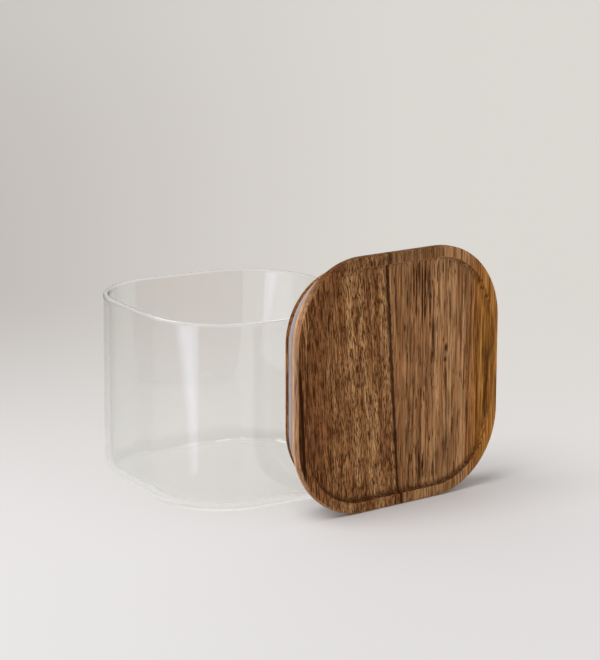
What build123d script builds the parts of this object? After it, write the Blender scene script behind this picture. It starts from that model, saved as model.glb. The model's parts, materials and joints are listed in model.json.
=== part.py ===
from build123d import *
from math import cos, hypot, radians, sin, sqrt
import os

# Square storage jar of clear glass with a solid-wood lid, in millimetres.
# The jar stands on z = 0 with its middle on the Z axis and its sides along X and Y.
# The lid is off: it stands on edge in front of the jar, outer face to -Y, and leans its plug on the rim.
# The lid is drawn closed, on the jar's axis with the rim at z = 0, and is then stood up as a whole.

# Glass jar
jar_width = 93.5
jar_height = 75.5
jar_corner_radius = 31.5
jar_wall = 2.2
jar_floor = 3.2
jar_base_round = 9.0
jar_floor_fillet = 6.0
rim_flat = 0.2

# Wooden lid: a flange that lies on the rim and a plug that goes into the mouth.
# The plug is cut closer to the glass at its corners than along its sides.
lid_width = 100.0
lid_corner_radius = 31.5
flange_thickness = 4.8
flange_back_round = 2.0
flange_front_round = 0.7
plug_depth = 11.7
plug_side_clearance = 0.8
plug_corner_clearance = 0.25
plug_edge_round = 0.8

# Shallow tray in the lid's outer face, for the base of the next jar in a stack
recess_rim = 4.2
recess_depth = 2.0
recess_cove = 1.9

# The two boards that the lid is glued up from, seen from its outer face
board_joint_offset = -1.8
board_joint_tilt = 4.1

# Silicone ring in a groove round the plug, with lips that meet the glass
groove_from_flange = 2.8
groove_height = 6.0
groove_depth = 1.8
seal_squeeze = 0.25
seal_band_proud = 0.2
seal_lip_count = 2
seal_lip_height = 2.6
seal_end_inset = 0.25

# Overshoot of a cutter past the surface that it opens
cut_margin = 2.0

# How the lid stands against the jar
stand_along_front = 38.0
stand_turn = 6.1
stand_lean = 0.94
stand_gap = 0.3


def rounded_square(width, corner_radius):
    """Square outline with round corners, on the XY plane."""
    return RectangleRounded(width, width, corner_radius)


def rounded_block(width, corner_radius, bottom, height):
    """Upright block with a rounded-square outline, standing on the level `bottom`."""
    return Pos(0, 0, bottom) * extrude(rounded_square(width, corner_radius), amount=height)


def round_face_edges(solid, pick, radius):
    """Rounds the edges of one flat face, picked along Z: 0 is the lowest face and -1 the highest."""
    return fillet(solid.faces().sort_by(Axis.Z)[pick].edges(), radius)


def corner_reach(width, corner_radius):
    """Distance from the middle of a rounded square out to the middle of its corner arc."""
    return sqrt(2) * (width / 2 - corner_radius) + corner_radius


def radius_for_reach(width, reach):
    """Corner radius that gives a rounded square of `width` that reach."""
    return (sqrt(2) * width / 2 - reach) / (sqrt(2) - 1)


# Sizes that follow from the ones above
mouth_width = jar_width - 2 * jar_wall
mouth_corner_radius = jar_corner_radius - jar_wall
rim_round = (jar_wall - rim_flat) / 2
plug_width = mouth_width - 2 * plug_side_clearance
mouth_corner_reach = corner_reach(mouth_width, mouth_corner_radius)
plug_corner_radius = radius_for_reach(plug_width, mouth_corner_reach - plug_corner_clearance)
groove_width = plug_width - 2 * groove_depth
groove_corner_radius = plug_corner_radius - groove_depth
groove_top = -groove_from_flange
groove_bottom = groove_top - groove_height
tray_floor = flange_thickness - recess_depth


def make_jar():
    """One-piece glass: soft outer base, large inner fillet and a fire-rounded rim."""
    outside = rounded_block(jar_width, jar_corner_radius, 0, jar_height)
    outside = round_face_edges(outside, 0, jar_base_round)
    inside = rounded_block(mouth_width, mouth_corner_radius, jar_floor, jar_height)
    inside = round_face_edges(inside, 0, jar_floor_fillet)
    jar = outside - inside
    return round_face_edges(jar, -1, rim_round)


def make_flange():
    """Plate that covers the rim, with a soft back edge."""
    plate = rounded_block(lid_width, lid_corner_radius, 0, flange_thickness)
    plate = round_face_edges(plate, -1, flange_front_round)
    return round_face_edges(plate, 0, flange_back_round)


def make_recess():
    """Cutter for the tray: its floor edge is a cove."""
    width = lid_width - 2 * recess_rim
    height = recess_depth + cut_margin
    cutter = rounded_block(width, lid_corner_radius - recess_rim, tray_floor, height)
    return round_face_edges(cutter, 0, recess_cove)


def make_plug():
    """Plug under the flange, with the groove for the silicone ring turned into its side."""
    plug = rounded_block(plug_width, plug_corner_radius, -plug_depth, plug_depth)
    plug = round_face_edges(plug, 0, plug_edge_round)
    groove_cutter = make_ring(plug_width + 2 * cut_margin, plug_corner_radius, groove_bottom, groove_height)
    return plug - groove_cutter


def make_ring(width, corner_radius, bottom, height):
    """Upright band from the bottom of the groove out to `width`."""
    band = rounded_block(width, corner_radius, bottom, height)
    return band - rounded_block(groove_width, groove_corner_radius, bottom, height)


def make_boards():
    """The lid's wood, cut along the glue line into its left and right boards."""
    wood = make_flange() - make_recess() + make_plug()
    glue_line = Plane.YZ.offset(board_joint_offset).rotated((0, 0, board_joint_tilt))
    left = split(wood, bisect_by=glue_line, keep=Keep.BOTTOM)
    right = split(wood, bisect_by=glue_line, keep=Keep.TOP)
    return left, right


def make_seal():
    """Ring with its lips: each lip is a rounded ridge that presses on the glass."""
    band_width = plug_width + 2 * seal_band_proud
    bottom = groove_bottom + seal_end_inset
    height = groove_height - 2 * seal_end_inset
    seal = make_ring(band_width, plug_corner_radius + seal_band_proud, bottom, height)
    core = rounded_block(groove_width, groove_corner_radius, bottom, height)
    lip_width = mouth_width + 2 * seal_squeeze
    lip_corner_radius = plug_corner_radius + (lip_width - plug_width) / 2
    lip_pitch = (height - seal_lip_height) / (seal_lip_count - 1)
    lip_round = 0.45 * min(seal_lip_height, (lip_width - band_width) / 2)
    for lip_number in range(seal_lip_count):
        lip_bottom = bottom + lip_number * lip_pitch
        lip = rounded_block(lip_width, lip_corner_radius, lip_bottom, seal_lip_height)
        lip = round_face_edges(lip, -1, lip_round)
        lip = round_face_edges(lip, 0, lip_round)
        seal += lip - core
    return seal


def stand_place(lid):
    """Where the closed lid goes to stand on edge, just clear of the jar's rim.

    The plug's back is a plane. It is pushed up to the furthest point of the rim along its own normal,
    which is the jar's core of flat sides plus its corner arcs and the round of its rim.
    """
    turn = Rot(0, 0, stand_turn) * Rot(90 - stand_lean, 0, 0)
    sink = (turn * lid).bounding_box().min.Z
    out_x = sin(radians(stand_turn)) * cos(radians(stand_lean))
    out_y = -cos(radians(stand_turn)) * cos(radians(stand_lean))
    out_z = sin(radians(stand_lean))
    core = (jar_width / 2 - jar_corner_radius) * (abs(out_x) + abs(out_y))
    arc = (jar_corner_radius - rim_round) * hypot(out_x, out_y)
    rim = rim_round + (jar_height - rim_round) * out_z
    reach = core + arc + rim + stand_gap + plug_depth
    along_y = (reach - out_x * stand_along_front + out_z * sink) / out_y
    return Pos(stand_along_front, along_y, -sink) * turn


jar = make_jar()
board_left, board_right = make_boards()
seal = make_seal()

place = stand_place(board_left + board_right)
board_left = place * board_left
board_right = place * board_right
seal = place * seal
nodes = {
    "glass_jar": jar,
    "lid_board_left": board_left,
    "lid_board_right": board_right,
    "seal_ring": seal,
}

os.makedirs("parts", exist_ok=True)
for name, shape in nodes.items():
    export_step(shape, f"parts/{name}.step")

capacity = rounded_block(mouth_width, mouth_corner_radius, jar_floor, jar_height - jar_floor)
print("capacity to the rim, ml:", round(round_face_edges(capacity, 0, jar_floor_fillet).volume / 1000))
print("closed height, mm:", jar_height + flange_thickness)
print("tray floor's middle, mm:", (place * Pos(0, 0, tray_floor)).position)
print("lid's outward direction:", Plane(place).z_dir)
print("least gap from lid to jar, mm:", round(jar.distance_to(board_left + board_right), 3))
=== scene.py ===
import json
from math import cos, pi, radians, sin, sqrt

import bmesh
import bpy
from bpy.props import FloatProperty, FloatVectorProperty, IntProperty, PointerProperty
from mathutils import Matrix, Vector


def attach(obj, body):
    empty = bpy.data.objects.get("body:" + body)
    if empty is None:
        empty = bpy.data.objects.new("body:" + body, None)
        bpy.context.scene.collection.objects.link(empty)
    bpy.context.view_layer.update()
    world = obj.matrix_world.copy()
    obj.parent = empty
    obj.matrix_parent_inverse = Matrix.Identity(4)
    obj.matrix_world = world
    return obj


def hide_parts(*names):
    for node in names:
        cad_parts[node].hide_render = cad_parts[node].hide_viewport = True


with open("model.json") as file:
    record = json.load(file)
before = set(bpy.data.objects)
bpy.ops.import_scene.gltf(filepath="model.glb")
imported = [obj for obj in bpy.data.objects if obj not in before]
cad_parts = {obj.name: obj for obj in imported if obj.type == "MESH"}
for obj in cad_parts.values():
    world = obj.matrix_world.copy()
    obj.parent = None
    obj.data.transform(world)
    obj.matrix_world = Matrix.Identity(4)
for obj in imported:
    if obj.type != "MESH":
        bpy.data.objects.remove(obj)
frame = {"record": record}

bl_info = {
    "name": "Storage Jar",
    "version": (1, 0, 0),
    "blender": (4, 5, 0),
    "location": "3D View > Sidebar > Storage Jar",
    "description": "Square glass storage jar with a solid-wood lid and a silicone ring",
    "category": "Object",
}

MM = 0.001


# Sizes and colours that a user may change

def size(name, description, millimetres):
    """A length in metres, given in millimetres."""
    return FloatProperty(name=name, description=description, default=millimetres * MM, unit="LENGTH")


def colour(name, description, red, green, blue):
    """A linear colour."""
    return FloatVectorProperty(
        name=name, description=description, default=(red, green, blue), subtype="COLOR", size=3, min=0, max=1)


class JarSizes(bpy.types.PropertyGroup):
    """Sizes of the glass jar"""

    width: size("Width", "Outside width across the flat sides", 93.5)
    height: size("Height", "Height from the base to the top of the rim", 75.5)
    corner_radius: size("Corner Radius", "Outside radius of the upright corners", 31.5)
    wall: size("Wall", "Thickness of the glass wall", 2.2)
    floor: size("Floor", "Thickness of the glass under the contents", 3.2)
    base_round: size("Base Round", "Radius of the soft edge round the base", 9.0)
    floor_fillet: size("Floor Fillet", "Inside radius between wall and floor", 6.0)
    rim_flat: size("Rim Flat", "Flat left between the two rounds of the rim", 0.2)


class LidSizes(bpy.types.PropertyGroup):
    """Sizes of the wooden lid"""

    width: size("Width", "Width of the flange across its flat sides", 100.0)
    corner_radius: size("Corner Radius", "Radius of the flange's corners", 31.5)
    flange: size("Flange", "Thickness of the flange that lies on the rim", 4.8)
    back_round: size("Back Round", "Radius of the flange's back edge", 2.0)
    front_round: size("Front Round", "Radius of the flange's front edge", 0.7)
    side_clearance: size("Side Clearance", "Gap from plug to glass along the flat sides", 0.8)
    corner_clearance: size("Corner Clearance", "Gap from plug to glass at the corners", 0.25)
    plug_depth: size("Plug Depth", "Depth of the plug behind the flange", 11.7)
    plug_round: size("Plug Round", "Radius of the plug's back edge", 0.8)
    tray_rim: size("Tray Rim", "Width of the rim round the tray", 4.2)
    tray_depth: size("Tray Depth", "Depth of the tray in the outer face", 2.0)
    tray_cove: size("Tray Cove", "Radius of the cove round the tray's floor", 1.9)
    tray_edge: size("Tray Edge", "Radius of the worn edge round the tray", 0.3)
    joint_offset: size("Joint Offset", "Place of the glue line across the lid", -1.8)
    joint_tilt: FloatProperty(
        name="Joint Tilt", description="Turn of the glue line", default=radians(4.1), subtype="ANGLE")


class SealSizes(bpy.types.PropertyGroup):
    """Sizes of the silicone ring and its groove"""

    groove_start: size("Groove Start", "Distance from the flange to the groove", 2.8)
    groove_height: size("Groove Height", "Height of the groove round the plug", 6.0)
    groove_depth: size("Groove Depth", "Depth of the groove in the plug's side", 1.8)
    end_inset: size("End Inset", "Gap from the ring to each side of the groove", 0.25)
    band_proud: size("Band Proud", "How far the ring stands out of the groove between lips", 0.2)
    squeeze: size("Squeeze", "How far a lip is pressed in by a closed jar's flat side", 0.25)
    lip_height: size("Lip Height", "Height of one lip", 2.6)
    lips: IntProperty(name="Lips", description="Number of lips", default=2, min=2)


class StorageJarSettings(bpy.types.PropertyGroup):
    """Settings of the whole storage jar"""

    jar: PointerProperty(type=JarSizes, name="Jar", description="Sizes of the glass jar")
    lid: PointerProperty(type=LidSizes, name="Lid", description="Sizes of the wooden lid")
    seal: PointerProperty(type=SealSizes, name="Seal", description="Sizes of the silicone ring")
    left_light: colour("Left Board Light", "Lighter tone of the left board", 0.535, 0.285, 0.12)
    left_dark: colour("Left Board Dark", "Darker tone of the left board", 0.27, 0.112, 0.040)
    right_light: colour("Right Board Light", "Lighter tone of the right board", 0.545, 0.296, 0.134)
    right_dark: colour("Right Board Dark", "Darker tone of the right board", 0.37, 0.175, 0.070)
    heart_edge: colour("Heartwood Edge", "Tint of the reddish band beside the sapwood", 0.86, 0.72, 0.54)
    sapwood: colour("Sapwood", "Tint of the golden sapwood at the right board's edge", 1.0, 0.85, 0.44)
    pore: colour("Pores", "Tone of the dark pores and streaks of both boards", 0.064, 0.017, 0.0028)
    silicone: colour("Silicone", "Colour of the silicone ring", 0.40, 0.363, 0.37)
    stage: colour("Floor", "Colour of the floor that the jar stands on", 0.825, 0.815, 0.82)


# Node trees

class Nodes:
    """Adds nodes to a tree. An input that is given a socket is linked, and any other takes a value."""

    def __init__(self, tree):
        self.tree = tree

    def set(self, socket, value):
        """Links one input or gives it a value."""
        if isinstance(value, bpy.types.NodeSocket):
            self.tree.links.new(value, socket)
        else:
            socket.default_value = value

    def fill(self, node, inputs):
        """Sets the named or numbered inputs of a node."""
        for key, value in dict(inputs).items():
            self.set(node.inputs[key], value)

    def add(self, kind, inputs=(), **settings):
        """New node with its inputs and its other settings."""
        node = self.tree.nodes.new(kind)
        for name, value in settings.items():
            setattr(node, name, value)
        self.fill(node, inputs)
        return node

    def get(self, kind, inputs=(), **settings):
        """First output of a new node."""
        return self.add(kind, inputs, **settings).outputs[0]

    def math(self, operation, *values):
        return self.get("ShaderNodeMath", enumerate(values), operation=operation)

    def chain(self, operation, result, *others):
        """One operation on the first two values, then on that result and the next value, and so on."""
        for value in others:
            result = self.math(operation, result, value)
        return result

    def plus(self, *values):
        return self.chain("ADD", *values)

    def minus(self, *values):
        return self.chain("SUBTRACT", *values)

    def times(self, *values):
        return self.chain("MULTIPLY", *values)

    def ratio(self, *values):
        return self.chain("DIVIDE", *values)

    def largest(self, *values):
        return self.chain("MAXIMUM", *values)

    def linear(self, value, slope, start):
        """Value times slope plus start."""
        return self.math("MULTIPLY_ADD", value, slope, start)

    def vector(self, operation, *values):
        return self.get("ShaderNodeVectorMath", enumerate(values), operation=operation)

    def dot(self, first, second):
        node = self.add("ShaderNodeVectorMath", {0: first, 1: second}, operation="DOT_PRODUCT")
        return node.outputs["Value"]

    def place(self):
        """Object coordinates."""
        return self.add("ShaderNodeTexCoord").outputs["Object"]

    def split(self, vector):
        return self.add("ShaderNodeSeparateXYZ", {0: vector}).outputs

    def join(self, x, y, z):
        return self.get("ShaderNodeCombineXYZ", {0: x, 1: y, 2: z})

    def fade(self, value, start, end):
        """0 up to `start` and 1 from `end` on, with a smooth change between. Start may be the larger."""
        return self.get("ShaderNodeMapRange", {0: value, 1: start, 2: end}, interpolation_type="SMOOTHSTEP")

    def noise(self, position, scale, detail=2.0, roughness=0.5):
        """Noise from 0 to 1. Scale says how often it changes per unit of length along each axis."""
        spot = self.vector("MULTIPLY", position, scale)
        settings = {"Vector": spot, "Scale": 1.0, "Detail": detail, "Roughness": roughness}
        return self.add("ShaderNodeTexNoise", settings).outputs["Fac"]

    def mix(self, share, first, second, blend="MIX"):
        """Mixes two colours."""
        node = self.add("ShaderNodeMix", {0: share, 6: first, 7: second}, data_type="RGBA", blend_type=blend)
        return node.outputs[2]


def node_group(name, inputs, outputs, tree_kind="ShaderNodeTree"):
    """Empty node group. A socket is given by its kind, or by its default where it is a float."""
    tree = bpy.data.node_groups.new(name, tree_kind)
    for side, sockets in (("INPUT", inputs), ("OUTPUT", outputs)):
        for socket_name, value in sockets.items():
            kind = value if isinstance(value, str) else "Float"
            socket = tree.interface.new_socket(socket_name, in_out=side, socket_type="NodeSocket" + kind)
            if value != kind:
                socket.default_value = value
    nodes = Nodes(tree)
    return nodes, nodes.add("NodeGroupInput").outputs, nodes.add("NodeGroupOutput")


def once(make):
    """Builds a node group at its first use only."""
    def get():
        name = make.__name__
        return bpy.data.node_groups.get(name) or make()
    return get


@once
def wood_flow():
    """Bends straight positions a little, so that the grain wanders as it does in a real board."""
    inputs = {"Position": "Vector", "Wander": 2.0, "Curl": 0.3}
    nodes, given, result = node_group("wood_flow", inputs, {"Position": "Vector"})
    slow = nodes.noise(given["Position"], (0.035, 0.012, 0.035))
    quick = nodes.noise(given["Position"], (0.22, 0.16, 0.22))
    slow = nodes.times(nodes.minus(slow, 0.5), given["Wander"])
    quick = nodes.times(nodes.minus(quick, 0.5), given["Curl"])
    shift = nodes.join(nodes.plus(slow, quick), 0.0, 0.0)
    nodes.set(result.inputs["Position"], nodes.vector("ADD", given["Position"], shift))
    return nodes.tree


DASH_EDGE = 0.045


@once
def wood_dashes():
    """Short dashes that lie along the grain, such as open pores."""
    inputs = {"Position": "Vector", "Length": 3.0, "Width": 0.4, "Lean": 0.0, "Density": 0.3}
    nodes, given, result = node_group("wood_dashes", inputs, {"Mask": "Float"})
    x, y, z = nodes.split(given["Position"])
    leaning = nodes.join(nodes.linear(given["Lean"], y, x), y, z)
    across = nodes.ratio(0.5, given["Width"])
    along = nodes.ratio(0.5, given["Length"])
    dashes = nodes.noise(leaning, nodes.join(across, along, across), 1.0, 0.4)
    start = nodes.linear(given["Density"], -0.3, 0.7)
    nodes.set(result.inputs["Mask"], nodes.fade(dashes, start, nodes.plus(start, DASH_EDGE)))
    return nodes.tree


@once
def wood_streak():
    """One long mark along the grain, such as a mineral streak or the rim of a knot."""
    inputs = {
        "Position": "Vector", "Across": 0.0, "Width": 1.0, "Low": -10.0, "High": 10.0, "End Fade": 3.0,
        "Strength": 1.0, "Softness": 0.5, "Slope": 0.0}
    nodes, given, result = node_group("wood_streak", inputs, {"Mask": "Float"})
    x, y = nodes.split(given["Position"])[:2]
    middle = nodes.linear(given["Slope"], y, given["Across"])
    off = nodes.math("ABSOLUTE", nodes.minus(x, middle))
    off = nodes.ratio(off, nodes.times(given["Width"], 0.5))
    body = nodes.fade(off, 1.0, nodes.minus(1.0, given["Softness"]))
    above = nodes.fade(y, given["Low"], nodes.plus(given["Low"], given["End Fade"]))
    below = nodes.fade(y, given["High"], nodes.minus(given["High"], given["End Fade"]))
    nodes.set(result.inputs["Mask"], nodes.times(body, above, below, given["Strength"]))
    return nodes.tree


@once
def rounded_edge():
    """Distance in from the lid's outline, in millimetres."""
    inputs = {"Position": "Vector", "Half Width": 50.0, "Corner Radius": 30.0}
    nodes, given, result = node_group("rounded_edge", inputs, {"Distance": "Float"})
    x, y = nodes.split(given["Position"])[:2]
    core = nodes.minus(given["Half Width"], given["Corner Radius"])
    over = [nodes.minus(nodes.math("ABSOLUTE", value), core) for value in (x, y)]
    outside = [nodes.largest(value, 0.0) for value in over]
    squares = [nodes.times(value, value) for value in outside]
    reach = nodes.math("SQRT", nodes.plus(*squares))
    inside = nodes.math("MINIMUM", nodes.largest(*over), 0.0)
    reach = nodes.plus(reach, inside)
    nodes.set(result.inputs["Distance"], nodes.minus(given["Corner Radius"], reach))
    return nodes.tree


@once
def wood_grain():
    """Colour of plain wood: broad bands, fibres and dark growth lines."""
    inputs = {
        "Position": "Vector", "Light": "Color", "Dark": "Color", "Pore": "Color", "Band Width": 4.0,
        "Fibre Length": 15.0, "Fibres": 0.4, "Lines": 0.5, "Mottle": 0.3, "Shade": 0.0}
    nodes, given, result = node_group("wood_grain", inputs, {"Color": "Color", "Height": "Float"})
    position = given["Position"]
    across = nodes.ratio(1.0, given["Band Width"])
    bands = nodes.noise(position, nodes.join(across, 0.009, across), 4.0, 0.62)
    blotches = nodes.noise(position, (0.13, 0.06, 0.13), 3.0, 0.6)
    tone = nodes.linear(nodes.minus(blotches, 0.5), given["Mottle"], bands)
    tone = nodes.fade(nodes.linear(given["Shade"], 0.2, tone), 0.36, 0.66)
    wood = nodes.mix(tone, given["Light"], given["Dark"])

    along = nodes.ratio(1.0, given["Fibre Length"])
    fibres = nodes.noise(position, nodes.join(1.6, along, 1.6), 2.0, 0.6)
    glint = nodes.times(nodes.fade(fibres, 0.5, 0.3), given["Fibres"])
    brighter = nodes.linear(glint, 0.45, 1.0)
    bright = nodes.get("ShaderNodeVectorMath", {0: wood, "Scale": brighter}, operation="SCALE")
    fibre_mask = nodes.times(nodes.fade(fibres, 0.46, 0.7), given["Fibres"])
    wood = nodes.mix(fibre_mask, bright, given["Pore"])

    rings = nodes.noise(position, (0.5, 0.006, 0.5), 3.0, 0.6)
    ridge = nodes.fade(nodes.math("ABSOLUTE", nodes.minus(rings, 0.5)), 0.07, 0.0)
    gaps = nodes.fade(nodes.noise(position, (0.25, 0.045, 0.25)), 0.42, 0.58)
    line_mask = nodes.times(ridge, gaps, given["Lines"])
    wood = nodes.mix(line_mask, wood, given["Pore"])
    height = nodes.minus(nodes.times(fibres, -0.5), line_mask)
    nodes.fill(result, {"Color": wood, "Height": height})
    return nodes.tree


def bare_nodes(owner):
    """Nodes of a material or world, with none in it yet."""
    owner.use_nodes = True
    owner.node_tree.nodes.clear()
    return Nodes(owner.node_tree)


def new_material(name):
    """Empty node material and its nodes."""
    material = bpy.data.materials.new(name)
    return material, bare_nodes(material)


def solid_material(name):
    """Node material with a Principled shader as its surface."""
    material, nodes = new_material(name)
    shader = nodes.add("ShaderNodeBsdfPrincipled")
    nodes.add("ShaderNodeOutputMaterial", {"Surface": shader.outputs["BSDF"]})
    return material, nodes, shader


def lid_position(nodes):
    """Object coordinates turned into millimetres in the closed lid's own frame."""
    place = lid_place()
    turn = place.to_3x3().transposed()
    inputs = {
        "Vector": nodes.place(),
        "Location": turn @ place.translation / -MM,
        "Rotation": turn.to_euler("XYZ"),
        "Scale": (1 / MM, 1 / MM, 1 / MM),
    }
    return nodes.get("ShaderNodeMapping", inputs, vector_type="POINT")


def place_group(nodes, group, **inputs):
    """Outputs of one use of a node group. An underscore in an input's name stands for a space."""
    node = nodes.add("ShaderNodeGroup", node_tree=group)
    for name, value in inputs.items():
        nodes.set(node.inputs[name.replace("_", " ").title()], value)
    return node.outputs


# Glass: what it lets through, and its painted light and shade at the rim, in the foot and round the inner
# floor

GLASS_IOR = 1.5
CLEAR_GLASS = (0.985, 0.986, 0.975, 1)
DEEP_GLASS = (0.38, 0.43, 0.37, 1)
STRAIGHT_TINT = (0.995, 0.996, 0.99, 1)
# Tints of the rim, partly the green of a long path through the glass and partly painted shade:
RIM_TINT_AND_SHADE = (0.85, 0.87, 0.84, 1)
RIM_EDGE_TINT_AND_SHADE = (0.6, 0.65, 0.57, 1)
# Painted shade on the inner floor's fillet, and painted glints there, lit by their own emission:
FILLET_PAINTED_SHADE = (0.8, 0.8, 0.77, 1)
GLINT_COLOUR = (1.0, 1.0, 0.95, 1)
GLINT_STRENGTH = 0.22
# Painted glow of the foot, given off by emission:
FOOT_GLOW_COLOUR = (1.0, 1.0, 0.98, 1)
FOOT_GLOW = 0.16
# How fine the painted glints are:
GLINT_SCALE = (90.0, 90.0, 400.0)
MOST_TURNS = 8.5


def glass_material():
    """Clear glass that lets light through to what stands behind it."""
    jar = bpy.context.scene.storage_jar.jar
    material, nodes = new_material("clear_glass")
    place = nodes.place()
    spot = nodes.split(place)
    rim = nodes.fade(spot["Z"], jar.height - jar.wall, jar.height - jar.wall / 2)
    foot = nodes.fade(spot["Z"], jar.base_round, jar.base_round * 0.4)
    facing = nodes.add("ShaderNodeLayerWeight", {"Blend": 0.5}).outputs["Facing"]
    surface = nodes.add("ShaderNodeNewGeometry")
    lift = nodes.split(surface.outputs["Normal"])["Z"]

    # The walls and the rim turn green where the eye looks along the glass.
    upright = nodes.largest(nodes.fade(nodes.math("ABSOLUTE", lift), 0.5, 0.15), rim)
    edge = nodes.times(nodes.math("POWER", facing, 3.0), upright)
    pane = nodes.mix(edge, CLEAR_GLASS, DEEP_GLASS)

    # The fillet round the inner floor gets painted shade, a soft darker band, and painted glints, bright
    # emission on its lower part.
    outside = nodes.times(nodes.minus(1.0, surface.outputs["Backfacing"]), foot)
    fillet = nodes.times(nodes.fade(lift, 0.1, 0.5), nodes.fade(lift, 0.998, 0.9), outside)
    painted_glints = nodes.fade(nodes.noise(place, GLINT_SCALE), 0.5, 0.6)
    on_right = nodes.fade(spot["X"], -0.01, 0.02)
    low_part = nodes.fade(lift, 0.8, 0.93)
    off_floor = nodes.fade(lift, 0.9995, 0.99)
    shader = nodes.get("ShaderNodeBsdfPrincipled", {
        "Base Color": nodes.mix(fillet, pane, FILLET_PAINTED_SHADE, "MULTIPLY"),
        "Roughness": 0.0,
        "IOR": GLASS_IOR,
        "Transmission Weight": 1.0,
        "Emission Color": GLINT_COLOUR,
        "Emission Strength": nodes.times(painted_glints, on_right, outside, low_part, off_floor, GLINT_STRENGTH),
    })

    # Shadow rays, rays from a matt surface and rays that have turned too often go straight through. The last
    # kind glows in the foot, a painted glow given off by emission. The rim is tinted where the last kind
    # passes it and where it is seen edge-on, partly the green of a long path through the glass and partly
    # painted shade.
    rays = nodes.add("ShaderNodeLightPath").outputs
    turns = nodes.linear(rays["Glossy Depth"], 2.0, rays["Transmission Depth"])
    wandered = nodes.math("GREATER_THAN", turns, MOST_TURNS)
    scattered = nodes.math("GREATER_THAN", rays["Diffuse Depth"], 0.5)
    rim_edge = nodes.times(nodes.math("POWER", facing, 5.0), rim)
    tint = nodes.mix(nodes.times(wandered, rim), STRAIGHT_TINT, RIM_TINT_AND_SHADE)
    tint = nodes.mix(rim_edge, tint, RIM_EDGE_TINT_AND_SHADE)
    clear = nodes.get("ShaderNodeBsdfTransparent", {"Color": tint})
    strength = nodes.times(wandered, foot, FOOT_GLOW)
    glow = nodes.get("ShaderNodeEmission", {"Color": FOOT_GLOW_COLOUR, "Strength": strength})
    clear = nodes.get("ShaderNodeAddShader", {0: clear, 1: glow})
    share = nodes.largest(rays["Is Shadow Ray"], scattered, wandered, rim_edge)
    mixed = nodes.get("ShaderNodeMixShader", {0: share, 1: shader, 2: clear})
    nodes.add("ShaderNodeOutputMaterial", {"Surface": mixed})
    material.cycles.emission_sampling = "NONE"
    return material


# Wood of the lid's boards. All its places and lengths are millimetres in the closed lid's own frame.

DEEP_SHARE = 0.6
PORE_DEPTH = 0.6
# Paler wood colour for the painted light on the lid's edges:
PAINTED_LIGHT_WOOD = (0.78, 0.47, 0.27, 1)

# Each mark: place across at mid height, width, low end, high end, fade at the ends and strength, then its
# softness if that isn't 0.5 and its slope if it has one. The streaks lie along the joint and the left edge.
STREAKS = (
    (-2.75, 2.3, -60, 60, 4, 0.9, 0.7, -0.0717),
    (-2.9, 3.2, -14, 20, 9, 0.85, 0.8, -0.0717),
    (-3.4, 2.6, 10, 46, 6, 0.55, 0.8, -0.0717),
    (-5.8, 3.6, 45.0, 60, 1.2, 0.85, 0.9),
    (-48.5, 1.7, -37, 16, 8, 1.0, 0.35, -0.06),
    (-49.4, 2.6, -34, 22, 9, 0.75, 0.6, -0.055),
)
LEFT_MARKS = (
    (-44.3, 0.9, -10, 12, 6, 0.8, 0.7, -0.03),
    (-32.6, 0.9, -10, 4, 3, 0.95, 0.6, -0.03),
    (-33.6, 0.9, -34, -21, 3, 0.95, 0.6, -0.03),
    (-34.0, 0.9, 21, 31, 3, 0.95, 0.6),
    (-38.0, 0.9, 33, 44, 3, 0.95, 0.6),
    (-27.5, 0.8, -36, -24, 3, 0.8, 0.6),
    # The last row darkens a wide band of the rim along the top.
    (-25.0, 60, 45.2, 60, 0.8, 0.3, 0.1),
)
RIGHT_MARKS = (
    (0.7, 1.08, 12, 46, 8, 0.6, 0.5, -0.0717),
    (4.4, 1.1, -12, 24, 6, 0.8),
    (4.6, 1.0, 26, 44, 5, 0.6),
    (6.1, 1.0, 24, 45, 5, 0.75),
    (7.5, 1.1, 28, 45.5, 5, 0.95),
    (8.9, 1.1, 20, 45.5, 6, 0.95),
    (10.3, 0.9, 30, 45.5, 5, 0.85),
    (11.8, 1.1, 16, 45.5, 6, 1.0),
    (13.2, 1.2, 18, 45.5, 6, 1.0),
    (14.7, 1.0, 27, 45, 6, 0.9),
    (16.3, 1.1, 14, 44.5, 6, 0.9, 0.5, -0.02),
    (17.8, 0.9, 24, 38, 5, 0.7),
    (18.4, 2.2, 3, 24, 6, 0.8, 0.8, -0.05),
    (19.4, 1.08, 34, 44.5, 3, 0.85),
    (22.2, 1.08, 38, 44.0, 2, 0.85),
    (24.9, 1.08, 34, 42, 3, 0.8),
    (26.8, 1.35, 16, 34, 5, 0.75, 0.5, -0.03),
    (24.5, 2.6, 6.0, 11.4, 2.4, 0.95, 0.6),
    (24.2, 2.2, 2.6, 5.8, 1.4, 0.95, 0.6),
    (26.0, 2.2, -2, 8, 3, 0.45, 0.9),
    (24.7, 1.08, -36, 3, 6, 0.8, 0.5, -0.015),
    (28.2, 1.08, -28, -18, 3, 0.8),
    (4.6, 3.0, -28, -17, 4, 0.6, 0.9),
    (11.5, 1.22, -44, -30, 4, 0.95),
    (13.3, 1.22, -44, -32, 4, 1.0),
    (18.3, 1.22, -44, -34, 4, 0.95),
    (20.4, 1.08, -44, -30, 4, 0.7),
    (32.2, 1.08, 6, 36, 6, 0.6),
    (36.6, 1.35, -30, 36, 9, 0.6, 0.5, 0.02),
    (41.0, 1.08, -36, 30, 9, 0.5),
    (43.8, 1.4, -4, 24, 8, 0.75, 0.8),
    (45.4, 1.62, -28, 12, 9, 0.7, 0.5, 0.02),
    (47.0, 1.22, -14, 22, 6, 0.7),
    # The last two rows darken a wide band of the rim along the top, and one along the bottom.
    (2.0, 58, 45.2, 60, 0.8, 0.45, 0.6),
    (20.0, 60, -60, -45.4, 0.8, 0.12, 0.4),
)


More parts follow.
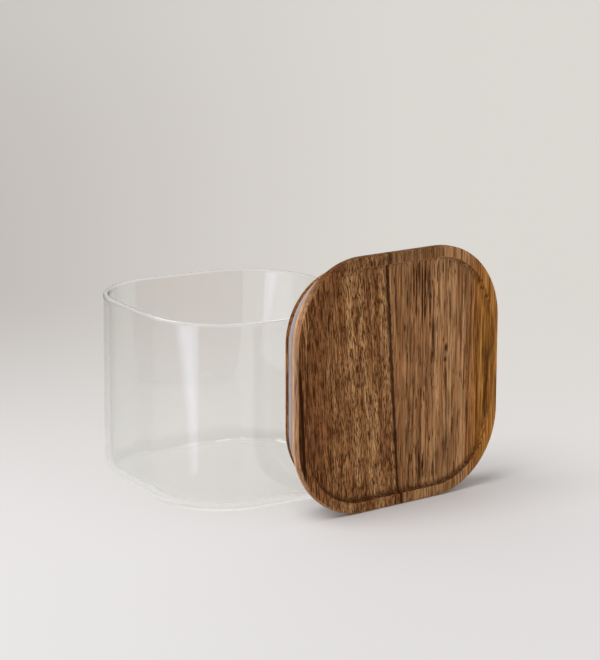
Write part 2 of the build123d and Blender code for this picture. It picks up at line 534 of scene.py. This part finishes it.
def marks_mask(nodes, position, marks):
    """Strongest of a board's marks at each point."""
    names = ("across", "width", "low", "high", "end_fade", "strength", "softness", "slope")
    mask = 0.0
    for mark in marks:
        streak = place_group(nodes, wood_streak(), position=position, **dict(zip(names, mark)))
        mask = nodes.largest(mask, streak["Mask"])
    return mask


def pores_mask(nodes, flow, layers):
    """Open pores in layers, each with its length, width, lean, density and strength."""
    mask = 0.0
    for length, width, lean, density, strength in layers:
        dashes = place_group(
            nodes, wood_dashes(), position=flow, length=length, width=width, lean=lean, density=density)
        mask = nodes.largest(mask, nodes.times(dashes["Mask"], strength))
    return mask


def board_grain(nodes, side, flow, **shape):
    """Plain wood of one board in its own tones."""
    settings = bpy.context.scene.storage_jar
    tones = {tone: (*getattr(settings, f"{side}_{tone}"), 1) for tone in ("light", "dark")}
    return place_group(nodes, wood_grain(), position=flow, pore=(*settings.pore, 1), **tones, **shape)


def left_board(nodes, settings, position):
    """Relief, colour, pores and marks of the left board: mottled, with short pores and a darker left edge."""
    inputs = {"Vector": position, "Angle": -settings.lid.joint_tilt}
    turned = nodes.get("ShaderNodeVectorRotate", inputs, rotation_type="Z_AXIS")
    flow = place_group(nodes, wood_flow(), position=turned, wander=3.0, curl=0.35)["Position"]
    edge = nodes.fade(nodes.split(position)["X"], -29.0, -40.0)
    grain = board_grain(
        nodes, "left", flow, band_width=3.4, fibre_length=5.0, fibres=0.8, lines=0.3, mottle=0.25,
        shade=nodes.times(edge, 0.8))
    inner = nodes.minus(1.0, edge)
    more_inside = nodes.linear(inner, 0.24, 0.14)
    more_at_edge = nodes.linear(edge, 0.35, 0.2)
    pores = pores_mask(nodes, flow, (
        (1.7, 0.18, 0.05, more_inside, 0.9),
        (1.3, 0.17, -0.06, more_inside, 0.8),
        (4.5, 0.28, 0.0, more_at_edge, 0.85),
    ))
    return grain["Height"], grain["Color"], pores, marks_mask(nodes, position, LEFT_MARKS)


def right_board(nodes, settings, position):
    """Relief, colour, pores and marks of the right board: straighter, with sapwood at its right edge."""
    x, y = nodes.split(position)[:2]
    flow = place_group(nodes, wood_flow(), position=position, wander=1.5, curl=0.5)["Position"]
    flow_x = nodes.split(flow)["X"]
    beside_joint = nodes.times(nodes.fade(x, 9.0, 1.0), 0.45)
    grain = board_grain(
        nodes, "right", flow, band_width=3.5, fibre_length=16.0, fibres=0.75, lines=0.5, mottle=0.22,
        shade=nodes.linear(nodes.fade(x, 20.0, 14.0), 0.2, beside_joint))
    wood = nodes.mix(nodes.fade(flow_x, 33.0, 38.0), grain["Color"], (*settings.heart_edge, 1), "MULTIPLY")
    golden = nodes.mix(1.0, grain["Color"], (*settings.sapwood, 1), "MULTIPLY")
    wood = nodes.mix(nodes.fade(flow_x, 37.0, 43.0), wood, golden)
    more_below = nodes.linear(nodes.fade(y, 18.0, 8.0), 0.65, 0.35)
    middle = nodes.times(nodes.fade(x, 2.0, 6.0), nodes.fade(x, 22.0, 16.0), more_below)
    pores = pores_mask(nodes, flow, (
        (2.6, 0.22, 0.0, nodes.linear(middle, 0.24, 0.08), 0.85),
        (6.0, 0.24, 0.0, nodes.linear(middle, 0.15, 0.15), 0.8),
    ))
    fewer_in_sapwood = nodes.linear(nodes.fade(flow_x, 34.0, 40.0), -0.55, 1.0)
    pores = nodes.times(pores, fewer_in_sapwood)
    return grain["Height"], wood, pores, marks_mask(nodes, flow, RIGHT_MARKS)


def worn_edges(nodes, lid, position, wood, deep):
    """Colour of the wood with painted light and shade round the lid's edges, where `deep` is its darkest
    tone.
    """
    x, y, depth = nodes.split(position)
    inset = place_group(
        nodes, rounded_edge(), position=position, half_width=lid.width / 2 / MM,
        corner_radius=lid.corner_radius / MM)["Distance"]
    face = lid.flange / MM
    tray_line = lid.tray_rim / MM

    # The cove round the tray's floor gets painted shade, most of all at its lower end and its upper right
    # corner; `worn` is how strong that shade is.
    in_tray = nodes.fade(depth, face - 0.1, face - 0.5)
    low = nodes.times(nodes.fade(y, -26.0, -40.0), 0.85)
    corner = nodes.times(nodes.fade(nodes.plus(x, y), 60.0, 68.0), 0.5)
    worn = nodes.largest(low, corner, 0.25)
    cove_shade_grain = nodes.linear(nodes.noise(position, (1.1, 0.35, 1.1), 3.0), 0.9, 0.45)
    cove = nodes.times(nodes.fade(inset, tray_line + 2.7, tray_line + 0.5), in_tray, worn, cove_shade_grain)
    wood = nodes.mix(cove, wood, deep)

    # The flange's side gets painted shade near its top and painted light below, most of all behind.
    side = nodes.fade(inset, 0.6, 0.2)
    shaded_upper_side = nodes.times(side, nodes.fade(y, 30.0, 46.0), 0.15)
    wood = nodes.mix(shaded_upper_side, wood, deep)
    side_grain = nodes.fade(nodes.noise(position, (0.9, 0.12, 1.6), 3.0), 0.35, 0.62)
    behind = nodes.linear(nodes.fade(depth, 3.4, 1.4), 0.5, 0.12)
    behind = nodes.linear(side_grain, 0.3, behind)
    lit_side = nodes.times(side, behind, nodes.fade(y, 46.0, 30.0))

    # The edge round the tray gets a painted highlight at its upper left.
    off_edge = nodes.math("ABSOLUTE", nodes.minus(inset, tray_line + 0.1))
    edge_highlight = nodes.times(nodes.fade(off_edge, 0.4, 0.1), nodes.fade(y, 5.0, 30.0))
    edge_highlight = nodes.times(edge_highlight, nodes.fade(x, 33.0, 24.0), 0.2)
    return nodes.mix(nodes.largest(edge_highlight, lit_side), wood, PAINTED_LIGHT_WOOD)


def wood_material(side):
    """Oiled wood of one board of the lid, `left` or `right`."""
    settings = bpy.context.scene.storage_jar
    material, nodes, shader = solid_material(f"oiled_wood_{side}")
    position = lid_position(nodes)
    board = {"left": left_board, "right": right_board}[side]
    height, wood, pores, marks = board(nodes, settings, position)
    breaks = nodes.fade(nodes.noise(position, (1.4, 0.22, 1.4)), 0.36, 0.52)
    marks = nodes.times(marks, nodes.linear(breaks, 0.45, 0.55))
    marks = nodes.largest(marks, marks_mask(nodes, position, STREAKS))
    deep = (*(value * DEEP_SHARE for value in settings.pore), 1)
    wood = nodes.mix(pores, wood, (*settings.pore, 1))
    wood = nodes.mix(marks, wood, deep)
    relief = nodes.minus(height, nodes.times(pores, PORE_DEPTH))
    bump = nodes.add("ShaderNodeBump", {"Height": relief, "Strength": 0.35, "Distance": 0.15 * MM})
    nodes.fill(shader, {
        "Base Color": worn_edges(nodes, settings.lid, position, wood, deep),
        "Roughness": nodes.linear(pores, 0.2, 0.55),
        "Specular IOR Level": 0.04,
        "Normal": bump.outputs["Normal"],
    })
    return material


DUSTY_SHARE = 0.88


def silicone_material():
    """Satin, milky silicone with a faint mould texture."""
    settings = bpy.context.scene.storage_jar
    material, nodes, shader = solid_material("silicone")
    position = lid_position(nodes)
    cloud = nodes.noise(position, (0.15, 0.15, 0.4), 3.0)
    pale = (*settings.silicone, 1)
    dusty = (*(value * DUSTY_SHARE for value in settings.silicone), 1)
    fine = nodes.noise(position, (6.0, 6.0, 6.0))
    bump = nodes.add("ShaderNodeBump", {"Height": fine, "Strength": 0.15, "Distance": 0.05 * MM})
    nodes.fill(shader, {
        "Base Color": nodes.mix(nodes.fade(cloud, 0.4, 0.7), pale, dusty),
        "Roughness": nodes.linear(cloud, 0.15, 0.35),
        "Subsurface Weight": 0.2,
        "Subsurface Radius": (1.0, 0.8, 0.8),
        "Subsurface Scale": 1.0 * MM,
        "Normal": bump.outputs["Normal"],
    })
    return material


# Shapes built from rings. Steps count the faces along a part of a ring or of a half profile.

ARC_STEPS = 28
FLAT_STEPS = 14
BASE_STEPS = 20
WALL_STEPS = 14
RIM_STEPS = 8
FILLET_STEPS = 16
BACK_ROUND_STEPS = 8
FRONT_ROUND_STEPS = 6
TRAY_EDGE_STEPS = 4
COVE_STEPS = 10
PLUG_ROUND_STEPS = 5
BAND_STEPS = 2
COVE_START = -7
CAP_SHARES = (0.985, 0.82, 0.6, 0.38, 0.18)
SUPPORT = 0.25 * MM
MOST_SUPPORT = 0.3
SHARP_ANGLE = radians(40)
CUT_TOLERANCE = 0.0001 * MM


def inset_row(outline, inset, height):
    """One row of a half profile: a rounded square drawn in by `inset`, at `height`."""
    half_width, corner_radius = outline
    return half_width - inset, corner_radius - inset, height


def arc_rows(outline, inset, height, radius, start, end, steps):
    """Rows along an arc of the half profile. Angles are in degrees: 0 points outward and 90 up."""
    rows = []
    for step in range(steps + 1):
        angle = radians(start + (end - start) * step / steps)
        rows.append(inset_row(outline, inset - radius * cos(angle), height + radius * sin(angle)))
    return rows


def straight_rows(first, last, steps):
    """Rows between two rows: one close to each of them, to hold the shading flat, and the rest even."""
    length = sqrt((last[0] - first[0]) ** 2 + (last[2] - first[2]) ** 2)
    near = min(SUPPORT / length, MOST_SUPPORT)
    shares = [near + (1 - 2 * near) * step / steps for step in range(steps + 1)]
    return [tuple(a + (b - a) * share for a, b in zip(first, last)) for share in shares]


def ring_points(half_width, corner_radius, height):
    """Points of one rounded-square ring, anticlockwise, with the same count for every size."""
    core = half_width - corner_radius
    points = []
    for quarter in range(4):
        turn = Matrix.Rotation(quarter * pi / 2, 3, "Z")
        for step in range(FLAT_STEPS):
            points.append(turn @ Vector((half_width, core * (2 * step / FLAT_STEPS - 1), height)))
        for step in range(ARC_STEPS):
            angle = step / ARC_STEPS * pi / 2
            x = core + corner_radius * cos(angle)
            y = core + corner_radius * sin(angle)
            points.append(turn @ Vector((x, y, height)))
    return points


def loft(rows):
    """Closed mesh through rings, with a cap inside the first ring and one inside the last."""
    first = [tuple(value * share for value in rows[0][:2]) + rows[0][2:] for share in reversed(CAP_SHARES)]
    last = [tuple(value * share for value in rows[-1][:2]) + rows[-1][2:] for share in CAP_SHARES]
    shape = bmesh.new()
    rings = [[shape.verts.new(point) for point in ring_points(*row)] for row in (*first, *rows, *last)]
    count = len(rings[0])
    for low, high in zip(rings, rings[1:]):
        for i in range(count):
            j = (i + 1) % count
            shape.faces.new((low[i], low[j], high[j], high[i]))
    bottom = shape.verts.new((0, 0, rows[0][2]))
    top = shape.verts.new((0, 0, rows[-1][2]))
    for i in range(count):
        j = (i + 1) % count
        shape.faces.new((bottom, rings[0][j], rings[0][i]))
        shape.faces.new((top, rings[-1][i], rings[-1][j]))
    return shape


def finish_piece(name, mesh, material, body, slot, *nodes):
    """Links a finished mesh as one piece of the object, in place of its CAD node."""
    mesh.name = name
    mesh.materials.clear()
    mesh.materials.append(material)
    mesh.shade_smooth()
    mesh.set_sharp_from_angle(angle=SHARP_ANGLE)
    piece = bpy.data.objects.new(name, mesh)
    bpy.context.scene.collection.objects.link(piece)
    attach(piece, body)
    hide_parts(*nodes)


def lid_place():
    """Where the closed lid stands in the row frame: its tray's mount gives the place and the way it faces."""
    lid = bpy.context.scene.storage_jar.lid
    mount = next(m for m in frame["record"]["mounts"] if m["name"] == "lid_tray")
    out = Vector(mount["axis"]).normalized()
    across = Vector((-out.y, out.x, 0)).normalized()
    up = out.cross(across)
    place = Matrix((across, up, out)).transposed().to_4x4()
    place.translation = Vector(mount["pos_m"]) - out * (lid.flange - lid.tray_depth)
    return place


def plug_outline():
    """Half width and corner radius of the plug, from its clearances to the mouth of the jar.

    Its reach is the distance from its middle out to the middle of a corner arc.
    """
    settings = bpy.context.scene.storage_jar
    jar, lid = settings.jar, settings.lid
    mouth = jar.width / 2 - jar.wall
    mouth_radius = jar.corner_radius - jar.wall
    reach = sqrt(2) * (mouth - mouth_radius) + mouth_radius - lid.corner_clearance
    half_width = mouth - lid.side_clearance
    return half_width, (sqrt(2) * half_width - reach) / (sqrt(2) - 1)


def jar_rows(jar):
    """Half profile of the glass, from its base up the outside, over the rim and down to its inner floor."""
    outline = (jar.width / 2, jar.corner_radius)
    rim_round = (jar.wall - jar.rim_flat) / 2
    rim_level = jar.height - rim_round
    base = arc_rows(outline, jar.base_round, jar.base_round, jar.base_round, -90, 0, BASE_STEPS)
    rim = arc_rows(outline, rim_round, rim_level, rim_round, 0, 90, RIM_STEPS)
    rim += arc_rows(outline, jar.wall - rim_round, rim_level, rim_round, 90, 180, RIM_STEPS)
    turn = jar.wall + jar.floor_fillet
    inside = arc_rows(outline, turn, jar.floor + jar.floor_fillet, jar.floor_fillet, 0, -90, FILLET_STEPS)
    outer_wall = straight_rows(base[-1], rim[0], WALL_STEPS)
    inner_wall = straight_rows(rim[-1], inside[0], WALL_STEPS)
    return base + outer_wall + rim + inner_wall + inside


def lid_rows(lid, seal):
    """Half profile of the lid's wood, from the plug's back, round the flange, to the floor of its tray."""
    plug = plug_outline()
    flange = (lid.width / 2, lid.corner_radius)
    groove_top = -seal.groove_start
    groove_bottom = groove_top - seal.groove_height
    corners = [
        inset_row(plug, 0, groove_bottom),
        inset_row(plug, seal.groove_depth, groove_bottom),
        inset_row(plug, seal.groove_depth, groove_top),
        inset_row(plug, 0, groove_top),
        inset_row(plug, 0, 0),
    ]
    back = arc_rows(flange, lid.back_round, lid.back_round, lid.back_round, -90, 0, BACK_ROUND_STEPS)
    front_level = lid.flange - lid.front_round
    front = arc_rows(flange, lid.front_round, front_level, lid.front_round, 0, 90, FRONT_ROUND_STEPS)
    edge = lid.tray_edge
    tray = arc_rows(flange, lid.tray_rim - edge, lid.flange - edge, edge, 90, 180, TRAY_EDGE_STEPS)
    cove_inset = lid.tray_rim + lid.tray_cove
    cove_level = lid.flange - lid.tray_depth + lid.tray_cove
    cove = arc_rows(flange, cove_inset, cove_level, lid.tray_cove, COVE_START, -90, COVE_STEPS)
    plug_level = lid.plug_round - lid.plug_depth
    rows = arc_rows(plug, lid.plug_round, plug_level, lid.plug_round, -90, 0, PLUG_ROUND_STEPS)
    for part in (*([corner] for corner in corners), back, front, tray):
        rows = rows + straight_rows(rows[-1], part[0], BAND_STEPS) + part
    return rows + cove


def cut_board(wood, side):
    """Copy of the lid's wood on one side of the glue line, with the cut closed. Side is -1 for the left."""
    lid = bpy.context.scene.storage_jar.lid
    board = wood.copy()
    across = Vector((cos(lid.joint_tilt), sin(lid.joint_tilt), 0)) * side
    cut = bmesh.ops.bisect_plane(
        board, geom=[*board.verts, *board.edges, *board.faces], dist=CUT_TOLERANCE,
        plane_co=(lid.joint_offset, 0, 0), plane_no=across, clear_inner=True)
    rim = [part for part in cut["geom_cut"] if isinstance(part, bmesh.types.BMEdge)]
    bmesh.ops.triangle_fill(board, edges=rim, use_beauty=True, normal=-across)
    return board


SECTION_ROUND = 0.25 * MM
SECTION_STEP = 0.1 * MM
LIP_FULLNESS = 0.6


def ring_tree():
    """Geometry Nodes tree of the seal: a band with rounded lips that follows the groove of the plug."""
    inputs = {
        "Geometry": "Geometry", "Groove Width": "Float", "Corner Radius": "Float", "Height": "Float",
        "Band": "Float", "Lip Reach": "Float", "Lip Height": "Float", "Lips": "Int", "Material": "Material"}
    outputs = {"Geometry": "Geometry"}
    nodes, given, result = node_group("silicone_ring", inputs, outputs, "GeometryNodeTree")
    width = given["Groove Width"]
    square = nodes.get("GeometryNodeCurvePrimitiveQuadrilateral", {"Width": width, "Height": width})
    corners = {"Curve": square, "Radius": given["Corner Radius"], "Count": ARC_STEPS}
    path = nodes.get("GeometryNodeFilletCurve", corners, mode="POLY")
    upright = nodes.get("GeometryNodeSetCurveNormal", {"Curve": path}, mode="Z_UP")

    extent = {"Width": given["Band"], "Height": given["Height"]}
    section = nodes.get("GeometryNodeCurvePrimitiveQuadrilateral", extent)
    corners = {"Curve": section, "Radius": SECTION_ROUND, "Count": 3}
    eased = nodes.get("GeometryNodeFilletCurve", corners, mode="POLY")
    fine = nodes.get("GeometryNodeResampleCurve", {"Curve": eased, "Length": SECTION_STEP}, mode="LENGTH")
    x, y = nodes.split(nodes.get("GeometryNodeInputPosition"))[:2]
    last_lip = nodes.minus(given["Lips"], 1.0)
    pitch = nodes.ratio(nodes.minus(given["Height"], given["Lip Height"]), last_lip)
    first = nodes.times(nodes.minus(given["Lip Height"], given["Height"]), 0.5)
    number = nodes.ratio(nodes.minus(y, first), pitch)
    nearest = nodes.largest(nodes.math("ROUND", number), 0.0)
    nearest = nodes.math("MINIMUM", nearest, last_lip)
    off = nodes.times(nodes.minus(number, nearest), pitch)
    share = nodes.ratio(off, nodes.times(given["Lip Height"], 0.5))
    bulge = nodes.minus(1.0, nodes.times(share, share))
    bulge = nodes.math("POWER", nodes.largest(bulge, 0.0), LIP_FULLNESS)
    outer = nodes.math("GREATER_THAN", x, nodes.times(given["Band"], 0.25))
    move = nodes.join(nodes.times(bulge, given["Lip Reach"], outer), 0.0, 0.0)
    half_band = nodes.join(nodes.times(given["Band"], 0.5), 0.0, 0.0)
    offset = nodes.vector("ADD", move, half_band)
    lipped = nodes.get("GeometryNodeSetPosition", {"Geometry": fine, "Offset": offset})
    swept = nodes.get("GeometryNodeCurveToMesh", {"Curve": upright, "Profile Curve": lipped})
    smooth = nodes.get("GeometryNodeSetShadeSmooth", {"Geometry": swept})
    real = nodes.get("GeometryNodeRealizeInstances", {"Geometry": smooth})
    painted = nodes.get("GeometryNodeSetMaterial", {"Geometry": real, "Material": given["Material"]})
    nodes.set(result.inputs["Geometry"], painted)
    return nodes.tree


# Operators

class STORAGEJAR_OT_glass_jar(bpy.types.Operator):
    """Builds the one-piece glass jar"""

    bl_idname = "storagejar.glass_jar"
    bl_label = "Glass Jar"

    def execute(self, context):
        shape = loft(jar_rows(context.scene.storage_jar.jar))
        mesh = bpy.data.meshes.new("glass_vessel")
        shape.to_mesh(mesh)
        shape.free()
        finish_piece("glass_vessel", mesh, glass_material(), "jar", "clear_glass", "glass_jar")
        return {"FINISHED"}


class STORAGEJAR_OT_lid_boards(bpy.types.Operator):
    """Builds the lid's two boards, cut from one shape along the glue line"""

    bl_idname = "storagejar.lid_boards"
    bl_label = "Lid Boards"

    def execute(self, context):
        settings = context.scene.storage_jar
        wood = loft(lid_rows(settings.lid, settings.seal))
        for side, sign in (("left", -1), ("right", 1)):
            board = cut_board(wood, sign)
            board.transform(lid_place())
            mesh = bpy.data.meshes.new(f"wood_{side}")
            board.to_mesh(mesh)
            board.free()
            finish_piece(
                f"wood_{side}", mesh, wood_material(side), "lid", f"oiled_wood_{side}", f"lid_board_{side}")
        wood.free()
        return {"FINISHED"}


class STORAGEJAR_OT_silicone_ring(bpy.types.Operator):
    """Builds the silicone ring in the groove of the lid's plug"""

    bl_idname = "storagejar.silicone_ring"
    bl_label = "Silicone Ring"

    def execute(self, context):
        settings = context.scene.storage_jar
        seal, lid = settings.seal, settings.lid
        half_width, corner_radius = plug_outline()
        material = silicone_material()
        values = {
            "Groove Width": 2 * (half_width - seal.groove_depth),
            "Corner Radius": corner_radius - seal.groove_depth,
            "Height": seal.groove_height - 2 * seal.end_inset,
            "Band": seal.groove_depth + seal.band_proud,
            "Lip Reach": lid.side_clearance + seal.squeeze - seal.band_proud,
            "Lip Height": seal.lip_height,
            "Lips": seal.lips,
            "Material": material,
        }
        maker = bpy.data.objects.new("ring_maker", bpy.data.meshes.new("ring_maker"))
        context.scene.collection.objects.link(maker)
        modifier = maker.modifiers.new("ring", "NODES")
        modifier.node_group = ring_tree()
        for item in modifier.node_group.interface.items_tree:
            if item.in_out == "INPUT" and item.name in values:
                modifier[item.identifier] = values[item.name]
        evaluated = maker.evaluated_get(context.evaluated_depsgraph_get())
        mesh = bpy.data.meshes.new_from_object(evaluated)
        bpy.data.objects.remove(maker)
        middle = Matrix.Translation((0, 0, -seal.groove_start - seal.groove_height / 2))
        mesh.transform(lid_place() @ middle)
        if not mesh.polygons:
            raise RuntimeError("the silicone ring has no faces")
        finish_piece("silicone_ring", mesh, material, "lid", "silicone", "seal_ring")
        return {"FINISHED"}


class STORAGEJAR_OT_stage(bpy.types.Operator):
    """Sets the floor, the light and the camera"""

    bl_idname = "storagejar.stage"
    bl_label = "Stage"

    def execute(self, context):
        scene = context.scene
        stage_floor(scene)
        stage_lights(scene)
        stage_camera(scene)
        return {"FINISHED"}


# Stage: its camera, its floor, its soft light and the window's patch on the floor that the glass mirrors

CAMERA_TARGET = Vector((58.27, 45.27, 45.0)) * MM
CAMERA_DISTANCE = 975.95 * MM
CAMERA_AZIMUTH = radians(-31.55)
CAMERA_ELEVATION = radians(13.40)
CAMERA_ROLL = radians(0.62)
CAMERA_LENS = 124.15

FLOOR_GAP = 0.05 * MM
FLOOR_RADIUS = 6.0
EYE_REACH = 0.95
LEAST_SPREAD = 0.5
NEAR_RIGHT, NEAR_LEFT = (0.9, 0.9, 0.9), (0.985, 0.985, 0.985)
FAR_RIGHT, FAR_LEFT, FARTHEST_LEFT = (0.836, 0.822, 0.777), (0.582, 0.562, 0.532), (0.66, 0.648, 0.622)

WINDOW_AZIMUTH = radians(-86)
WINDOW_ELEVATION = radians(63)
WINDOW_SPREAD = radians(45)
WINDOW_STRENGTH = 1.84
BRIGHT_SIDE = radians(-120)
DIM_WALL, BRIGHT_WALL = (0.505, 0.487, 0.478, 1), (1.10, 1.08, 1.055, 1)
CEILING = (0.435, 0.42, 0.412, 1)
SEEN_WALL, SEEN_CEILING = (0.74, 0.725, 0.71, 1), (0.5, 0.5, 0.5, 1)

GLOW_CORNERS = ((-85, -75), (-480, -305), (-480, 380), (-85, 55))
GLOW_START = (-108, -77)
GLOW_SLOPE = 0.577
GLOW_COLOUR = (0.78, 0.82, 1.0, 1)
GLOW_STRENGTH = 3.15
REAR_GLOW = 0.75


def toward(azimuth, elevation=0.0):
    """Direction of a place round the jar: 0 is in front of it, and 90 on its right."""
    return Vector((sin(azimuth) * cos(elevation), -cos(azimuth) * cos(elevation), sin(elevation)))


def stage_floor(scene):
    """Wide pale floor with painted light and shade: a little darker far behind the jar and on its left, and
    lightest close by on its left.
    """
    material, nodes, shader = solid_material("pale_floor")
    position = nodes.place()
    back = -toward(CAMERA_AZIMUTH)
    right = Vector((back.y, -back.x, 0))
    behind = nodes.dot(position, back)
    aside = nodes.dot(position, right)
    spread = nodes.largest(nodes.plus(behind, EYE_REACH), LEAST_SPREAD)
    left = nodes.fade(nodes.ratio(aside, spread), 0.1, -0.2)
    pale = scene.storage_jar.stage
    near_right, near_left, far_right, far_left, farthest_left = (
        (*(a * b for a, b in zip(pale, shares)), 1)
        for shares in (NEAR_RIGHT, NEAR_LEFT, FAR_RIGHT, FAR_LEFT, FARTHEST_LEFT))
    far_left = nodes.mix(nodes.fade(behind, 0.3, 2.0), far_left, farthest_left)
    near_tone = nodes.mix(left, near_right, near_left)
    far_tone = nodes.mix(left, far_right, far_left)
    nodes.fill(shader, {
        "Base Color": nodes.mix(nodes.fade(behind, -0.12, 0.36), near_tone, far_tone),
        "Roughness": 0.8,
        "Specular IOR Level": 0.0,
    })
    bpy.ops.mesh.primitive_circle_add(
        vertices=96, radius=FLOOR_RADIUS, fill_type="NGON", location=(0, 0, -FLOOR_GAP))
    floor = bpy.context.object
    floor.name = "pale_floor"
    floor.data.materials.append(material)


def add_window():
    """Soft light from a large window far away on the left."""
    light = bpy.data.lights.new("window", "SUN")
    light.angle = WINDOW_SPREAD
    light.energy = WINDOW_STRENGTH
    lamp = bpy.data.objects.new("window", light)
    lamp.visible_glossy = False
    lamp.visible_transmission = False
    bpy.context.scene.collection.objects.link(lamp)
    shine = -toward(WINDOW_AZIMUTH, WINDOW_ELEVATION)
    lamp.rotation_euler = shine.to_track_quat("-Z", "Y").to_euler()


def add_floor_glow():
    """Patch of window light on the floor at the left, out of view. It shows only as streaks in the glass."""
    mesh = bpy.data.meshes.new("floor_glow")
    mesh.from_pydata([(x * MM, y * MM, 1 * MM) for x, y in GLOW_CORNERS], [], [(3, 2, 1, 0)])
    material, nodes = new_material("floor_glow")
    material.cycles.emission_sampling = "NONE"
    # Its edge is soft, and `turn` is the place across it as the jar sees it.
    x, y = nodes.split(nodes.place())[:2]
    start_x, start_y = GLOW_START
    sunk = nodes.times(nodes.plus(x, -start_x * MM), -GLOW_SLOPE)
    off = nodes.plus(y, -start_y * MM, sunk)
    turn = nodes.ratio(off, nodes.times(x, -1.0))
    soft_edge = nodes.times(nodes.fade(turn, 0.05, 0.25), 0.4)
    edge = nodes.linear(nodes.fade(turn, -0.02, 0.05), 0.6, soft_edge)
    reach = nodes.linear(x, -1.75, -0.04)
    core = nodes.fade(nodes.minus(turn, reach), 0.14, -0.14)

    # It shows in rays that the glass has mirrored once, and further along in those from the rear wall.
    rays = nodes.add("ShaderNodeLightPath").outputs
    rear_wall = nodes.times(nodes.math("GREATER_THAN", rays["Transmission Depth"], 3.5), REAR_GLOW)
    glow = nodes.times(edge, nodes.largest(core, rear_wall), nodes.fade(turn, 1.25, 0.85))
    once_mirrored = nodes.math("COMPARE", rays["Glossy Depth"], 1.0, 0.1)
    direct = nodes.math("LESS_THAN", rays["Transmission Depth"], 4.5)
    from_eye = nodes.math("LESS_THAN", rays["Diffuse Depth"], 0.5)
    mirrored = nodes.times(once_mirrored, direct, from_eye)
    emission = nodes.get("ShaderNodeEmission", {"Color": GLOW_COLOUR, "Strength": GLOW_STRENGTH})
    clear = nodes.get("ShaderNodeBsdfTransparent")
    mixed = nodes.get("ShaderNodeMixShader", {0: nodes.times(glow, mirrored), 1: clear, 2: emission})
    nodes.add("ShaderNodeOutputMaterial", {"Surface": mixed})
    mesh.materials.append(material)
    patch = bpy.data.objects.new("floor_glow", mesh)
    bpy.context.scene.collection.objects.link(patch)
    patch.visible_camera = False
    patch.visible_diffuse = False
    patch.visible_shadow = False


def stage_lights(scene):
    """Soft room light, brightest on the side of a large window on the left."""
    world = bpy.data.worlds.new("soft_room")
    scene.world = world
    nodes = bare_nodes(world)
    direction = nodes.add("ShaderNodeTexCoord").outputs["Generated"]
    height = nodes.split(direction)["Z"]
    side = nodes.dot(direction, toward(BRIGHT_SIDE))
    walls = nodes.mix(nodes.fade(side, -0.6, 0.6), DIM_WALL, BRIGHT_WALL)
    light = nodes.mix(nodes.fade(height, 0.1, 0.8), walls, CEILING)
    seen = nodes.mix(nodes.fade(height, 0.0, 0.9), SEEN_WALL, SEEN_CEILING)
    rays = nodes.add("ShaderNodeLightPath")
    lighting = nodes.math("GREATER_THAN", rays.outputs["Diffuse Depth"], 0.5)
    room = nodes.get("ShaderNodeBackground", {"Color": nodes.mix(lighting, seen, light)})
    nodes.add("ShaderNodeOutputWorld", {"Surface": room})
    add_window()
    add_floor_glow()


def stage_camera(scene):
    """Camera at the photograph's viewing angle."""
    camera = bpy.data.cameras.new("camera")
    camera.lens = CAMERA_LENS
    eye = bpy.data.objects.new("camera", camera)
    scene.collection.objects.link(eye)
    back = toward(CAMERA_AZIMUTH, CAMERA_ELEVATION)
    turn = (-back).to_track_quat("-Z", "Y").to_matrix() @ Matrix.Rotation(CAMERA_ROLL, 3, "Z")
    eye.matrix_world = Matrix.Translation(CAMERA_TARGET + back * CAMERA_DISTANCE) @ turn.to_4x4()
    scene.camera = eye
    scene.view_settings.view_transform = "Standard"


class STORAGEJAR_PT_panel(bpy.types.Panel):
    """Lists what builds the storage jar"""

    bl_idname = "STORAGEJAR_PT_panel"
    bl_label = "Storage Jar"
    bl_space_type = "VIEW_3D"
    bl_region_type = "UI"
    bl_category = "Storage Jar"

    def draw(self, context):
        for operator in OPERATORS:
            self.layout.operator(operator.bl_idname)


PROPERTY_GROUPS = (JarSizes, LidSizes, SealSizes, StorageJarSettings)
OPERATORS = (
    STORAGEJAR_OT_glass_jar, STORAGEJAR_OT_lid_boards, STORAGEJAR_OT_silicone_ring, STORAGEJAR_OT_stage)
CLASSES = (*PROPERTY_GROUPS, *OPERATORS, STORAGEJAR_PT_panel)


def register():
    for cls in CLASSES:
        bpy.utils.register_class(cls)
    bpy.types.Scene.storage_jar = PointerProperty(type=StorageJarSettings)


def unregister():
    del bpy.types.Scene.storage_jar
    for cls in reversed(CLASSES):
        bpy.utils.unregister_class(cls)


def main():
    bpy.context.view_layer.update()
    register()
    bpy.ops.storagejar.glass_jar()
    bpy.ops.storagejar.lid_boards()
    bpy.ops.storagejar.silicone_ring()
    bpy.ops.storagejar.stage()


if __name__ == "__main__":
    main()
